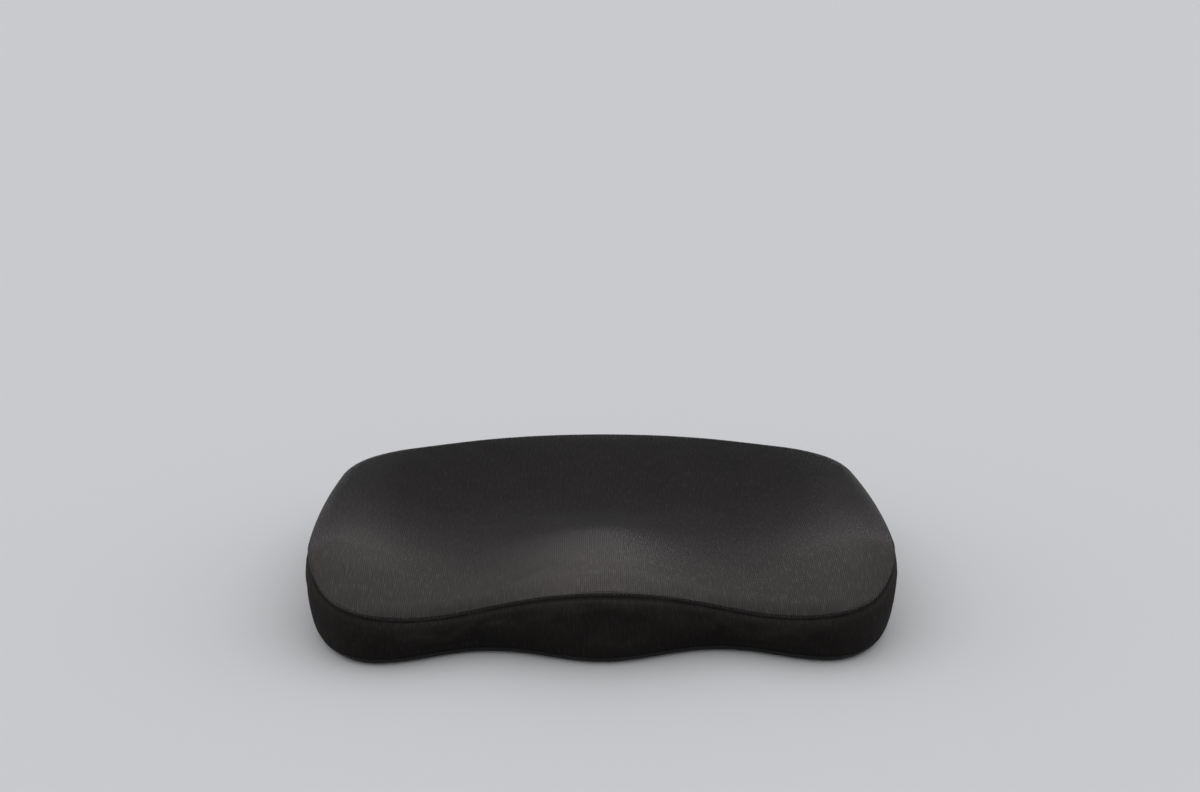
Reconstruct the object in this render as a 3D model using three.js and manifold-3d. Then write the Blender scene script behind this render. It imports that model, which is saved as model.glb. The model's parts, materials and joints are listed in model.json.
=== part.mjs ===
// Contoured seat cushion: a sewn, zipped cover over a lined, moulded foam core.
//
// Millimetres, +Z up. The cushion rests on z = 0 with its front edge towards -Y,
// and the origin is at the bottom centre of its bounding box.

import * as THREE from 'three';
import Module from 'manifold-3d';
import { LoftGeometry } from 'three/addons/geometries/LoftGeometry.js';
import { mergeVertices } from 'three/addons/utils/BufferGeometryUtils.js';

const wasm = await Module();
wasm.setup();

// ---------------------------------------------------------------- driving dimensions

// plan outline, measured at the upper seam
const width = 460;
const depth = 386;
const rearRadius = 400;
const rearCornerRadius = 95;
const sideRadius = 1100;
const widestY = -43;
const frontCornerStartY = -98;
const frontLobeX = 168;
const frontRecessX = 87;
const frontRecessDepth = 22;
const recessHandle = 0.37;
const cornerHandle = 0.55;
const rearWallStartY = 60;
const rearWallFullY = 156;

// heights of the seat surface above the floor
const rimHeight = 70;
const frontCornerHeight = 53;
const dishHeight = 47;
const channelFrontHeight = 42;
const pommelRise = 23;
const pommelHalfWidth = 116;
const channelX = 112;
const bolsterX = 222;

// where those heights begin and finish changing, from front to rear
const channelEndY = -60;
const bolsterStartY = -190;
const bolsterFullY = -105;
const pommelFullY = -150;
const pommelEndY = 50;
const dishEndY = 10;
const rimFullY = 190;

// shape of the wall between the two seams
const crownDrop = 6;
const crownWidth = 13;
const crownSharpness = 2.5;
const wallLean = 3;
const tuckRadius = 12;
const bottomSeamAngle = THREE.MathUtils.degToRad(30);

// layers, from the outside in
const coverThickness = 1.6;
const linerThickness = 0.8;
const gap = 0.3;
const rearClearance = 3;

// seam stitching
const seamGap = 1.1;
const threadInset = 0.2;
const threadDepth = 1.2;
const threadHeight = 0.5;
const linerSeamHeight = 14;

// zip, which runs round the rear arc
const zipHeight = 33;
const zipOpening = 10.4;
const joinAngle = THREE.MathUtils.degToRad(22);
const tapeEndAngle = THREE.MathUtils.degToRad(23.5);
const coilEndAngle = THREE.MathUtils.degToRad(19.2);
const sliderAngle = THREE.MathUtils.degToRad(18.3);
const stopLength = 4.5;
const tapeThickness = 0.7;
const tapeWidth = 10.5;
const coilHalfWidth = 3.1;
const coilThickness = 1.6;
const coilCentreGap = 0.8;

// zip slider and its pull
const sliderLength = 11;
const sliderWidth = 8.8;
const sliderPlate = 1;
const sliderClearance = 0.5;
const sliderNoseWidth = 4.4;
const sliderTaper = 2.75;
const sliderFlange = 0.8;
const sliderFlangeLength = 8.25;
const sliderPost = 0.9;
const sliderPostLength = 2.75;
const sliderPostX = 2.75;
const bridgeLength = 6.8;
const bridgeWidth = 2;
const bridgeBar = 1;
const bridgeTunnel = 2;
const pullThickness = 1.2;
const pullLength = 24;
const pullWidth = 7;
const pullWindowLength = 5;
const pullWindowWidth = 3;

// care label
const labelLength = 20;
const labelHeight = 30;
const labelThickness = 0.7;

// fineness of the curved surfaces
const rearSteps = 12;
const sideSteps = { pommel: 4, recess: 4, frontCorner: 5, side: 4, rearCorner: 4, rearEnd: 2 };
const crownSteps = [0, 0.3, 1];
const seatSteps = [0.87, 0.7, 0.48, 0.22];
const tuckSteps = 3;
const pullEndSteps = 8;

// ---------------------------------------------------------------- materials

const charcoalKnit = new THREE.MeshStandardMaterial({ color: 0x3a3837, roughness: 0.95 });
const darkKnit = new THREE.MeshStandardMaterial({ color: 0x211f1e, roughness: 0.95 });
const gripFabric = new THREE.MeshStandardMaterial({ color: 0x17181a, roughness: 0.85 });
const thread = new THREE.MeshStandardMaterial({ color: 0x2b2928, roughness: 0.8 });
const zipTape = new THREE.MeshStandardMaterial({ color: 0x1b1b1c, roughness: 0.9 });
const zipNylon = new THREE.MeshStandardMaterial({ color: 0x19191a, roughness: 0.45 });
const zipMetal = new THREE.MeshStandardMaterial({ color: 0x2e2e30, roughness: 0.35, metalness: 0.9 });
const labelSatin = new THREE.MeshStandardMaterial({ color: 0xd8d6d0, roughness: 0.6 });
const linerKnit = new THREE.MeshStandardMaterial({ color: 0xc9c6bf, roughness: 0.95 });
const memoryFoam = new THREE.MeshStandardMaterial({ color: 0xe2d9c4, roughness: 1 });

const { lerp, smoothstep } = THREE.MathUtils;

// ---------------------------------------------------------------- plan outline

const frontY = -depth / 2;
const rearCentre = new THREE.Vector2(0, depth / 2 - rearRadius);
const sideCentre = new THREE.Vector2(width / 2 - sideRadius, widestY);

// The corner circle touches the rear and side circles from inside, so its centre is
// where two circles of the reduced radii meet.
function cornerCentre() {
  const rearReach = rearRadius - rearCornerRadius;
  const sideReach = sideRadius - rearCornerRadius;
  const between = rearCentre.clone().sub(sideCentre);
  const distance = between.length();
  const along = (sideReach ** 2 - rearReach ** 2 + distance ** 2) / (2 * distance);
  const across = Math.sqrt(sideReach ** 2 - along ** 2);
  const unit = between.normalize();
  const offset = new THREE.Vector2(-unit.y, unit.x).multiplyScalar(across);
  return sideCentre.clone().addScaledVector(unit, along).add(offset);
}

function sidePoint(y) {
  const rise = (y - sideCentre.y) / sideRadius;
  const reach = Math.sqrt(1 - rise ** 2);
  return {
    angle: Math.asin(rise),
    point: new THREE.Vector2(sideCentre.x + sideRadius * reach, y),
    tangent: new THREE.Vector2(-rise, reach),
  };
}

function bezier(...points) {
  return new THREE.CubicBezierCurve(...points);
}

function arc(centre, radius, start, end) {
  return new THREE.EllipseCurve(centre.x, centre.y, radius, radius, start, end, false);
}

// Right half of the outline, counterclockwise from the middle of the front edge to the
// join beside the zip, as curves with the number of steps each one is divided into.
function rightHalfCurves() {
  const corner = cornerCentre();
  const side = sidePoint(frontCornerStartY);
  const pommel = new THREE.Vector2(0, frontY);
  const recess = new THREE.Vector2(frontRecessX, frontY + frontRecessDepth);
  const lobe = new THREE.Vector2(frontLobeX, frontY);
  const pommelReach = frontRecessX * recessHandle;
  const lobeReach = (frontLobeX - frontRecessX) * recessHandle;
  const cornerReachX = (side.point.x - frontLobeX) * cornerHandle;
  const cornerReachY = (frontCornerStartY - frontY) * cornerHandle;
  const sideEnd = corner.clone().sub(sideCentre).angle();
  const cornerEnd = corner.clone().sub(rearCentre).angle();
  const shifted = (point, x, y = 0) => new THREE.Vector2(point.x + x, point.y + y);
  const beforeSide = side.point.clone().addScaledVector(side.tangent, -cornerReachY);
  return [
    [bezier(pommel, shifted(pommel, pommelReach), shifted(recess, -pommelReach), recess), sideSteps.pommel],
    [bezier(recess, shifted(recess, lobeReach), shifted(lobe, -lobeReach), lobe), sideSteps.recess],
    [bezier(lobe, shifted(lobe, cornerReachX), beforeSide, side.point), sideSteps.frontCorner],
    [arc(sideCentre, sideRadius, side.angle, sideEnd), sideSteps.side],
    [arc(corner, rearCornerRadius, sideEnd, cornerEnd), sideSteps.rearCorner],
    [arc(rearCentre, rearRadius, cornerEnd, Math.PI / 2 - joinAngle), sideSteps.rearEnd],
  ];
}

// A station is one place on the outline: its point, its outward normal and how far it
// belongs to the rear wall (1) rather than the sides and front (0).
function station(point, tangent) {
  return {
    point,
    normal: new THREE.Vector2(tangent.y, -tangent.x).normalize(),
    rear: smoothstep(point.y, rearWallStartY, rearWallFullY),
  };
}

function mirrored(source) {
  return {
    point: new THREE.Vector2(-source.point.x, source.point.y),
    normal: new THREE.Vector2(-source.normal.x, source.normal.y),
    rear: source.rear,
  };
}

function rearStation(angle) {
  const outward = new THREE.Vector2(Math.sin(angle), Math.cos(angle));
  const point = rearCentre.clone().addScaledVector(outward, rearRadius);
  return station(point, new THREE.Vector2(-outward.y, outward.x));
}

function rearStations(fromAngle, toAngle, steps) {
  const stations = [];
  for (let step = 0; step <= steps; step += 1) {
    stations.push(rearStation(lerp(fromAngle, toAngle, step / steps)));
  }
  return stations;
}

function rightHalfStations() {
  const stations = [];
  for (const [curve, steps] of rightHalfCurves()) {
    for (let step = 0; step < steps; step += 1) {
      const t = step / steps;
      stations.push(station(curve.getPoint(t), curve.getTangent(t)));
    }
  }
  return stations;
}

const right = rightHalfStations();
const left = right.slice(1).map(mirrored).reverse();
const rear = rearStations(joinAngle, -joinAngle, rearSteps);
const outline = [...right, ...rear, ...left];

// The strip of the outline that the side gusset covers: from the left join forwards,
// round the front, and back to the right join.
const joinMargin = seamGap / 2 / rearRadius;
const frontStrip = [
  rearStation(-joinAngle - joinMargin),
  ...left,
  ...right,
  rearStation(joinAngle + joinMargin),
];
const rearStrip = rearStations(joinAngle - joinMargin, -joinAngle + joinMargin, rearSteps);

// ---------------------------------------------------------------- seat surface

function seatHeight(x, y) {
  const across = Math.abs(x);
  const channel = lerp(channelFrontHeight, dishHeight, smoothstep(y, frontY, channelEndY));
  const bolsterRise = smoothstep(y, bolsterStartY, bolsterFullY);
  const bolsterTop = lerp(frontCornerHeight, rimHeight, bolsterRise);
  const bolster = smoothstep(across, channelX, bolsterX);
  const pommelAcross = Math.min(across / pommelHalfWidth, 1);
  const pommelFade = 1 - smoothstep(y, pommelFullY, pommelEndY);
  const pommel = pommelRise * Math.cos(pommelAcross * Math.PI / 2) ** 2 * pommelFade;
  const seat = lerp(channel + pommel, bolsterTop, bolster);
  return lerp(seat, rimHeight, smoothstep(y, dishEndY, rimFullY));
}

// Each layer is described by its depth below the cover's outer face. The lined foam
// stands a little further from the rear wall, where the zip slider runs behind it.
const coverOuter = { depth: 0, rearGap: 0 };
const coverInner = { depth: coverThickness, rearGap: 0 };
const linerOuter = { depth: coverThickness + gap, rearGap: rearClearance };
const linerInner = { depth: linerOuter.depth + linerThickness, rearGap: rearClearance };
const foamOuter = { depth: linerInner.depth + gap, rearGap: rearClearance };

function inward({ point, normal }, inset) {
  return point.clone().addScaledVector(normal, -inset);
}

function seamHeight(place) {
  return seatHeight(place.point.x, place.point.y) - crownDrop - seamGap / 2;
}

function lift(plan, height) {
  return new THREE.Vector3(plan.x, plan.y, height);
}

// Rings run once round a list of stations, one point for each.

function tuckRing(stations, layer, angle) {
  const radius = tuckRadius - layer.depth;
  return stations.map((place) => {
    const shift = lerp(wallLean, layer.rearGap, place.rear);
    const inset = shift + tuckRadius - radius * Math.cos(angle);
    return lift(inward(place, inset), tuckRadius - radius * Math.sin(angle));
  });
}

function wallRing(stations, layer, heightAt) {
  return stations.map((place) => {
    const height = heightAt(place);
    const climb = (height - tuckRadius) / (seamHeight(place) - tuckRadius);
    const low = lerp(wallLean, layer.rearGap, place.rear);
    const high = layer.rearGap * place.rear;
    return lift(inward(place, lerp(low, high, climb) + layer.depth), height);
  });
}

function crownRing(stations, layer, fraction) {
  return stations.map((place) => {
    const edge = layer.depth + layer.rearGap * place.rear;
    const plan = inward(place, lerp(edge, crownWidth, fraction));
    const drop = crownDrop * (1 - fraction) ** crownSharpness;
    return lift(plan, seatHeight(plan.x, plan.y) - drop - layer.depth);
  });
}

function seatRing(stations, layer, scale) {
  return stations.map((place) => {
    const plan = inward(place, crownWidth).multiplyScalar(scale);
    return lift(plan, seatHeight(plan.x, plan.y) - layer.depth);
  });
}

// All rings of one layer's seat surface, from the crown's edge to the middle.
function seatRings(layer) {
  return [
    ...crownSteps.map((fraction) => crownRing(outline, layer, fraction)),
    ...seatSteps.map((scale) => seatRing(outline, layer, scale)),
  ];
}

// Rings of a tucked-under edge, from the flat bottom up to the given angle.
function tuckRings(layer, angle) {
  const rings = [];
  for (let step = 0; step <= tuckSteps; step += 1) {
    rings.push(tuckRing(outline, layer, lerp(Math.PI / 2, angle, step / tuckSteps)));
  }
  return rings;
}

// ---------------------------------------------------------------- making meshes

const cushion = new THREE.Group();

function addPiece(name, geometry, material, parent = cushion) {
  const mesh = new THREE.Mesh(geometry, material.clone());
  mesh.name = name;
  parent.add(mesh);
  return mesh;
}

function middleOf(ring) {
  const middle = new THREE.Vector3();
  ring.forEach((point) => middle.addScaledVector(point, 1 / ring.length));
  return middle;
}

// A closed body between a lower face, given as rings from its middle outwards, and an
// upper face, given as rings from the rim back to the middle. Both faces split their
// quads along the same diagonals, so that nested layers stay parallel.
function stackedBody(lowerRings, upperRings) {
  const rings = [...lowerRings, ...upperRings];
  const count = outline.length;
  const points = [middleOf(rings[0]), ...rings.flat(), middleOf(rings[rings.length - 1])];
  const vertex = (row, column) => 1 + row * count + (column % count);
  const top = points.length - 1;
  const index = [];
  for (let column = 0; column < count; column += 1) {
    index.push(0, vertex(0, column + 1), vertex(0, column));
    for (let row = 0; row < rings.length - 1; row += 1) {
      const a = vertex(row, column);
      const b = vertex(row, column + 1);
      const c = vertex(row + 1, column + 1);
      const d = vertex(row + 1, column);
      index.push(...(row < lowerRings.length ? [a, b, c, a, c, d] : [a, b, d, b, c, d]));
    }
    index.push(vertex(rings.length - 1, column), vertex(rings.length - 1, column + 1), top);
  }
  const geometry = new THREE.BufferGeometry().setFromPoints(points);
  geometry.setIndex(index);
  geometry.computeVertexNormals();
  return geometry;
}

// A strip along the stations, whose rings are the corners of its cross-section.
function stripBody(rings) {
  const sections = rings[0].map((_, index) => rings.map((ring) => ring[index]));
  return new LoftGeometry(sections, { capStart: true, capEnd: true });
}

// The same strip closed on itself.
function hoopBody(rings) {
  return new LoftGeometry([...rings[0].keys(), 0].map((index) => rings.map((ring) => ring[index])));
}

// A rectangular bar along the rear arc, between two angles, radii and heights.
function rearBar(fromAngle, toAngle, innerRadius, outerRadius, bottom, top) {
  const stations = rearStations(fromAngle, toAngle, rearSteps);
  const corner = (radius, height) => stations.map((place) => (
    lift(inward(place, rearRadius - radius), height)
  ));
  return stripBody([
    corner(outerRadius, bottom),
    corner(innerRadius, bottom),
    corner(innerRadius, top),
    corner(outerRadius, top),
  ]);
}

function solidFrom(geometry) {
  const bare = geometry.clone();
  bare.deleteAttribute('normal');
  bare.deleteAttribute('uv');
  const merged = mergeVertices(bare);
  const numbers = merged.index ? merged.index.array : [...merged.attributes.position.array.keys()];
  const mesh = new wasm.Mesh({
    numProp: 3,
    vertProperties: new Float32Array(merged.attributes.position.array),
    triVerts: new Uint32Array(numbers),
  });
  return new wasm.Manifold(mesh);
}

function joined(geometries) {
  const mesh = geometries.map(solidFrom).reduce((whole, solid) => whole.add(solid)).getMesh();
  const geometry = new THREE.BufferGeometry();
  geometry.setAttribute('position', new THREE.BufferAttribute(mesh.vertProperties, 3));
  geometry.setIndex(new THREE.BufferAttribute(mesh.triVerts, 1));
  return geometry;
}

function box(length, thickness, height, x, y, z) {
  return new THREE.BoxGeometry(length, thickness, height).translate(x, y, z);
}

// ---------------------------------------------------------------- cover

function addTopPanel() {
  const inner = seatRings(coverInner).reverse();
  const innerRim = crownRing(outline, coverInner, 0).map((point, index) => (
    point.setZ(seamHeight(outline[index]) + seamGap / 2)
  ));
  inner[inner.length - 1] = innerRim;
  addPiece('top_panel', stackedBody(inner, seatRings(coverOuter)), charcoalKnit);
}

function gussetTop(place) {
  return seamHeight(place) - seamGap / 2;
}

// Corners of a gusset that runs from the bottom seam up to a given height.
function tuckedGussetRings(stations, topHeight) {
  const seamMargin = seamGap / 2 / tuckRadius;
  const lowest = bottomSeamAngle - seamMargin;
  return [
    tuckRing(stations, coverOuter, lowest),
    tuckRing(stations, coverInner, lowest),
    tuckRing(stations, coverInner, 0),
    wallRing(stations, coverInner, topHeight),
    wallRing(stations, coverOuter, topHeight),
    tuckRing(stations, coverOuter, 0),
    tuckRing(stations, coverOuter, lowest / 2),
  ];
}

function addGussets() {
  const openingBottom = () => zipHeight - zipOpening / 2;
  const openingTop = () => zipHeight + zipOpening / 2;
  addPiece('side_gusset', stripBody(tuckedGussetRings(frontStrip, gussetTop)), darkKnit);
  addPiece('rear_gusset_lower', stripBody(tuckedGussetRings(rearStrip, openingBottom)), darkKnit);
  addPiece('rear_gusset_upper', stripBody([
    wallRing(rearStrip, coverOuter, openingTop),
    wallRing(rearStrip, coverInner, openingTop),
    wallRing(rearStrip, coverInner, gussetTop),
    wallRing(rearStrip, coverOuter, gussetTop),
  ]), darkKnit);
}

function addBottomPanel() {
  const rimAngle = bottomSeamAngle + seamGap / 2 / tuckRadius;
  const outer = tuckRings(coverOuter, rimAngle);
  const inner = tuckRings(coverInner, rimAngle).reverse();
  addPiece('bottom_panel', stackedBody(outer, inner), gripFabric);
}

// ---------------------------------------------------------------- stitching

function addSeamThreads() {
  const threadOuter = { depth: threadInset, rearGap: 0 };
  const threadInner = { depth: threadInset + threadDepth, rearGap: 0 };
  const threadBottom = (place) => seamHeight(place) - threadHeight / 2;
  const threadTop = (place) => seamHeight(place) + threadHeight / 2;
  addPiece('top_seam_thread', hoopBody([
    wallRing(outline, threadOuter, threadBottom),
    wallRing(outline, threadInner, threadBottom),
    wallRing(outline, threadInner, threadTop),
    wallRing(outline, threadOuter, threadTop),
  ]), thread);

  const halfAngle = threadHeight / 2 / tuckRadius;
  addPiece('bottom_seam_thread', hoopBody([
    tuckRing(outline, threadOuter, bottomSeamAngle + halfAngle),
    tuckRing(outline, threadInner, bottomSeamAngle + halfAngle),
    tuckRing(outline, threadInner, bottomSeamAngle - halfAngle),
    tuckRing(outline, threadOuter, bottomSeamAngle - halfAngle),
  ]), thread);
}

// The two upright seams that close the rear strips and the zip's ends.
function addJoinThreads() {
  const bottom = tuckRadius + gap;
  const top = gussetTop(rearStation(joinAngle)) - gap;
  for (const [side, sign] of [['left', -1], ['right', 1]]) {
    const upright = new THREE.Group();
    upright.position.set(rearCentre.x, rearCentre.y, (bottom + top) / 2);
    upright.rotation.z = -sign * joinAngle;
    cushion.add(upright);
    const middle = rearRadius - threadInset - threadDepth / 2;
    const shape = box(threadHeight, threadDepth, top - bottom, 0, middle, 0);
    addPiece(`rear_join_thread_${side}`, shape, thread, upright);
  }
}

// ---------------------------------------------------------------- zip

const tapeOuterRadius = rearRadius - coverThickness - gap;
const tapeInnerRadius = tapeOuterRadius - tapeThickness;
const coilInnerRadius = tapeOuterRadius + gap;
const coilOuterRadius = coilInnerRadius + coilThickness;

function addTapesAndCoils() {
  for (const [side, sign] of [['upper', 1], ['lower', -1]]) {
    const between = (near, far) => [near, far].map((offset) => zipHeight + sign * offset)
      .sort((a, b) => a - b);
    const tape = between(coilCentreGap, coilCentreGap + tapeWidth);
    const coil = between(coilCentreGap, coilHalfWidth);
    addPiece(`zip_tape_${side}`, rearBar(
      tapeEndAngle, -tapeEndAngle, tapeInnerRadius, tapeOuterRadius, ...tape,
    ), zipTape);
    addPiece(`zip_coil_${side}`, rearBar(
      coilEndAngle, -coilEndAngle, coilInnerRadius, coilOuterRadius, ...coil,
    ), zipNylon);
  }
}

// A metal clip on the tape, just past the end of the coil at one end of the zip.
function stopShape(sign, bottom, top) {
  const near = coilEndAngle + gap / rearRadius;
  const far = near + stopLength / rearRadius;
  const angles = sign > 0 ? [far, near] : [-near, -far];
  const stations = rearStations(...angles, 1);
  const corner = (radius, height) => stations.map((place) => (
    lift(inward(place, rearRadius - radius), zipHeight + height)
  ));
  return stripBody([
    corner(coilOuterRadius, bottom),
    corner(coilInnerRadius, bottom),
    corner(coilInnerRadius, top),
    corner(coilOuterRadius, top),
  ]);
}

function addStops() {
  addPiece('zip_top_stop_upper', stopShape(1, coilCentreGap, coilHalfWidth), zipMetal);
  addPiece('zip_top_stop_lower', stopShape(1, -coilHalfWidth, -coilCentreGap), zipMetal);
  addPiece('zip_bottom_stop', stopShape(-1, -coilHalfWidth, coilHalfWidth), zipMetal);
}

// In the slider's own frame x runs along the zip and y outwards from the arc's centre.
const sliderInnerRadius = tapeInnerRadius - sliderClearance;
const sliderOuterRadius = coilOuterRadius + sliderClearance;
const plateTopRadius = sliderOuterRadius + sliderPlate;
const pivotRadius = plateTopRadius + bridgeTunnel / 2;

function sliderPlateShape(innerRadius) {
  const half = sliderLength / 2;
  const side = sliderWidth / 2;
  const nose = sliderNoseWidth / 2;
  const plan = new THREE.Shape([
    new THREE.Vector2(-half, -nose),
    new THREE.Vector2(-half + sliderTaper, -side),
    new THREE.Vector2(half, -side),
    new THREE.Vector2(half, side),
    new THREE.Vector2(-half + sliderTaper, side),
    new THREE.Vector2(-half, nose),
  ]);
  const plate = new THREE.ExtrudeGeometry(plan, { depth: sliderPlate, bevelEnabled: false });
  return plate.rotateX(Math.PI / 2).translate(0, innerRadius + sliderPlate, 0);
}

function sliderShape() {
  const inner = sliderInnerRadius - sliderPlate;
  const bridgeTop = plateTopRadius + bridgeTunnel + bridgeBar;
  const legX = (bridgeLength - bridgeBar) / 2;
  const legHeight = bridgeTop - sliderOuterRadius;
  const legMiddle = (bridgeTop + sliderOuterRadius) / 2;
  const flangeInner = coilInnerRadius + gap;
  const flangeOuter = sliderOuterRadius + sliderPlate / 2;
  const flangeMiddle = (flangeInner + flangeOuter) / 2;
  const flangeZ = (sliderWidth - sliderFlange) / 2;
  const flangeHeight = flangeOuter - flangeInner;
  const flangeX = (sliderLength - sliderFlangeLength) / 2;
  const postHeight = plateTopRadius - inner;
  return joined([
    sliderPlateShape(inner),
    sliderPlateShape(sliderOuterRadius),
    box(sliderPostLength, postHeight, sliderPost, sliderPostX, inner + postHeight / 2, 0),
    box(sliderFlangeLength, flangeHeight, sliderFlange, flangeX, flangeMiddle, flangeZ),
    box(sliderFlangeLength, flangeHeight, sliderFlange, flangeX, flangeMiddle, -flangeZ),
    box(bridgeBar, legHeight, bridgeWidth, legX, legMiddle, 0),
    box(bridgeBar, legHeight, bridgeWidth, -legX, legMiddle, 0),
    box(bridgeLength, bridgeBar, bridgeWidth, 0, bridgeTop - bridgeBar / 2, 0),
  ]);
}

// The pull lies along the zip. Its crossbar, at the origin, turns under the bridge.
function pullShape() {
  const side = pullWidth / 2;
  const crossbar = pullThickness / 2;
  const eye = pullWindowWidth / 2 + pullThickness;
  const eyeEnd = -crossbar - pullWindowLength;
  const plan = new THREE.Shape();
  plan.moveTo(crossbar, -eye);
  plan.lineTo(crossbar, eye);
  plan.lineTo(eyeEnd - pullThickness, eye);
  plan.lineTo(eyeEnd - 2 * pullThickness, side);
  plan.lineTo(-pullLength + side, side);
  plan.absarc(-pullLength + side, 0, side, Math.PI / 2, -Math.PI / 2, false);
  plan.lineTo(eyeEnd - 2 * pullThickness, -side);
  plan.lineTo(eyeEnd - pullThickness, -eye);
  plan.closePath();
  plan.holes.push(new THREE.Path([
    new THREE.Vector2(-crossbar, -pullWindowWidth / 2),
    new THREE.Vector2(eyeEnd, -pullWindowWidth / 2),
    new THREE.Vector2(eyeEnd, pullWindowWidth / 2),
    new THREE.Vector2(-crossbar, pullWindowWidth / 2),
  ]));
  const settings = { depth: pullThickness, bevelEnabled: false, curveSegments: pullEndSteps };
  return new THREE.ExtrudeGeometry(plan, settings).rotateX(Math.PI / 2)
    .translate(0, pullThickness / 2, 0);
}

function addSliderAndPull() {
  const travelling = new THREE.Group();
  travelling.position.set(rearCentre.x, rearCentre.y, zipHeight);
  travelling.rotation.z = -sliderAngle;
  cushion.add(travelling);
  addPiece('zip_slider', sliderShape(), zipMetal, travelling);
  addPiece('zip_pull', pullShape(), zipMetal, travelling).position.y = pivotRadius;
}

// ---------------------------------------------------------------- care label

// A folded label caught in the left upright seam, lying flat on the side gusset.
function addCareLabel() {
  const start = joinAngle + seamGap / rearRadius;
  const end = start + labelLength / rearRadius;
  addPiece('care_label', rearBar(
    -start, -end,
    rearRadius + gap, rearRadius + gap + labelThickness,
    zipHeight - labelHeight / 2, zipHeight + labelHeight / 2,
  ), labelSatin);
}

// ---------------------------------------------------------------- liner and foam

function linerSeamTop() {
  return linerSeamHeight + seamGap / 2;
}

function addLiner() {
  const seamBottom = () => linerSeamHeight - seamGap / 2;
  addPiece('liner_top', stackedBody(
    [...seatRings(linerInner).reverse(), wallRing(outline, linerInner, linerSeamTop)],
    [wallRing(outline, linerOuter, linerSeamTop), ...seatRings(linerOuter)],
  ), linerKnit);
  addPiece('liner_base', stackedBody(
    [...tuckRings(linerOuter, 0), wallRing(outline, linerOuter, seamBottom)],
    [wallRing(outline, linerInner, seamBottom), ...tuckRings(linerInner, 0).reverse()],
  ), linerKnit);

  const threadBottom = () => linerSeamHeight - threadHeight / 2;
  const threadTop = () => linerSeamHeight + threadHeight / 2;
  addPiece('liner_seam_thread', hoopBody([
    wallRing(outline, linerOuter, threadBottom),
    wallRing(outline, linerInner, threadBottom),
    wallRing(outline, linerInner, threadTop),
    wallRing(outline, linerOuter, threadTop),
  ]), linerKnit);
}

function addFoamCore() {
  const wallAndSeat = [wallRing(outline, foamOuter, linerSeamTop), ...seatRings(foamOuter)];
  addPiece('foam_core', stackedBody(tuckRings(foamOuter, 0), wallAndSeat), memoryFoam);
}

// ---------------------------------------------------------------- assembly

addTopPanel();
addGussets();
addBottomPanel();
addSeamThreads();
addJoinThreads();
addTapesAndCoils();
addStops();
addSliderAndPull();
addCareLabel();
addLiner();
addFoamCore();

export default cushion;
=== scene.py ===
"""Contoured seat cushion: a sewn, zipped cover over a lined, moulded foam core.

Lengths here are in millimetres until a mesh is made. The plan outline and the seat
surface repeat the design's own formulas at a finer step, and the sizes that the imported
frame holds are read from it.
"""

import json
import math

import bmesh
import bpy
import numpy as np
from mathutils import Matrix, Vector, noise
from mathutils.geometry import delaunay_2d_cdt


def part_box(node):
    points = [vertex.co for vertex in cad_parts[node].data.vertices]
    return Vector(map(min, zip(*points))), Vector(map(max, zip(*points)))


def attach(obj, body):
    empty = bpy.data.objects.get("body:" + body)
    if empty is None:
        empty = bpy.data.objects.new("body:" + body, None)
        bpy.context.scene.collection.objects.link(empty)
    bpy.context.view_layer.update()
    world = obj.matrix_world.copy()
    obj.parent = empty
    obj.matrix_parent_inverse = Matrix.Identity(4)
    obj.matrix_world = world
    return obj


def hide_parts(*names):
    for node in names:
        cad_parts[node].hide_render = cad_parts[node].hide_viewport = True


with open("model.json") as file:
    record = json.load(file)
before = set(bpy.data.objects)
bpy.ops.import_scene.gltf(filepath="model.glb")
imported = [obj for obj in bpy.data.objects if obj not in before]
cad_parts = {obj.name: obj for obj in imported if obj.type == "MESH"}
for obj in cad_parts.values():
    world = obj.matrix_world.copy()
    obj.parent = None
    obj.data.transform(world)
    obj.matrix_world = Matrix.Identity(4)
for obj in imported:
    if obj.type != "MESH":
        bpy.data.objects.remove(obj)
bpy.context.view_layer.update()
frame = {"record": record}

MM = 0.001
BODY = "cushion"
scene = bpy.context.scene


def node_box(node):
    """A CAD node's lowest and highest corners, in millimetres."""
    low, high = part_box(node)
    return np.array(low) / MM, np.array(high) / MM


def joint_named(name):
    joints = frame["record"]["behaviour"]["joints"]
    return next(joint for joint in joints if joint["name"] == name)


# ---------------------------------------------------------------- sizes

TOP_LOW, TOP_HIGH = node_box("top_panel")
WIDTH = round(TOP_HIGH[0] - TOP_LOW[0])
DEPTH = round(TOP_HIGH[1] - TOP_LOW[1])
FRONT_Y = -DEPTH / 2

ARC_CENTRE = np.array(joint_named("zip_travel")["pos_m"]) / MM
REAR_RADIUS = DEPTH / 2 - ARC_CENTRE[1]
ZIP_HEIGHT = ARC_CENTRE[2]
PULL_PIVOT = np.array(joint_named("pull_swing")["pos_m"]) / MM

# plan outline, at the upper seam
RECESS_HANDLE = 0.37
CORNER_HANDLE = 0.55
REAR_CORNER_RADIUS = 95
SIDE_RADIUS = 1100
WIDEST_Y = -43
FRONT_CORNER_START_Y = -98
FRONT_LOBE_X = 168
FRONT_RECESS_X = 87
FRONT_RECESS_DEPTH = 22

# heights of the seat surface
RIM_HEIGHT = 70
FRONT_CORNER_HEIGHT = 53
DISH_HEIGHT = 47
CHANNEL_FRONT_HEIGHT = 42
POMMEL_RISE = 23
POMMEL_HALF_WIDTH = 116
CHANNEL_X = 112
BOLSTER_X = 222
CHANNEL_END_Y = -60
BOLSTER_START_Y = -190
BOLSTER_FULL_Y = -105
POMMEL_FULL_Y = -150
POMMEL_END_Y = 50
DISH_END_Y = 10
RIM_FULL_Y = 190

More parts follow.
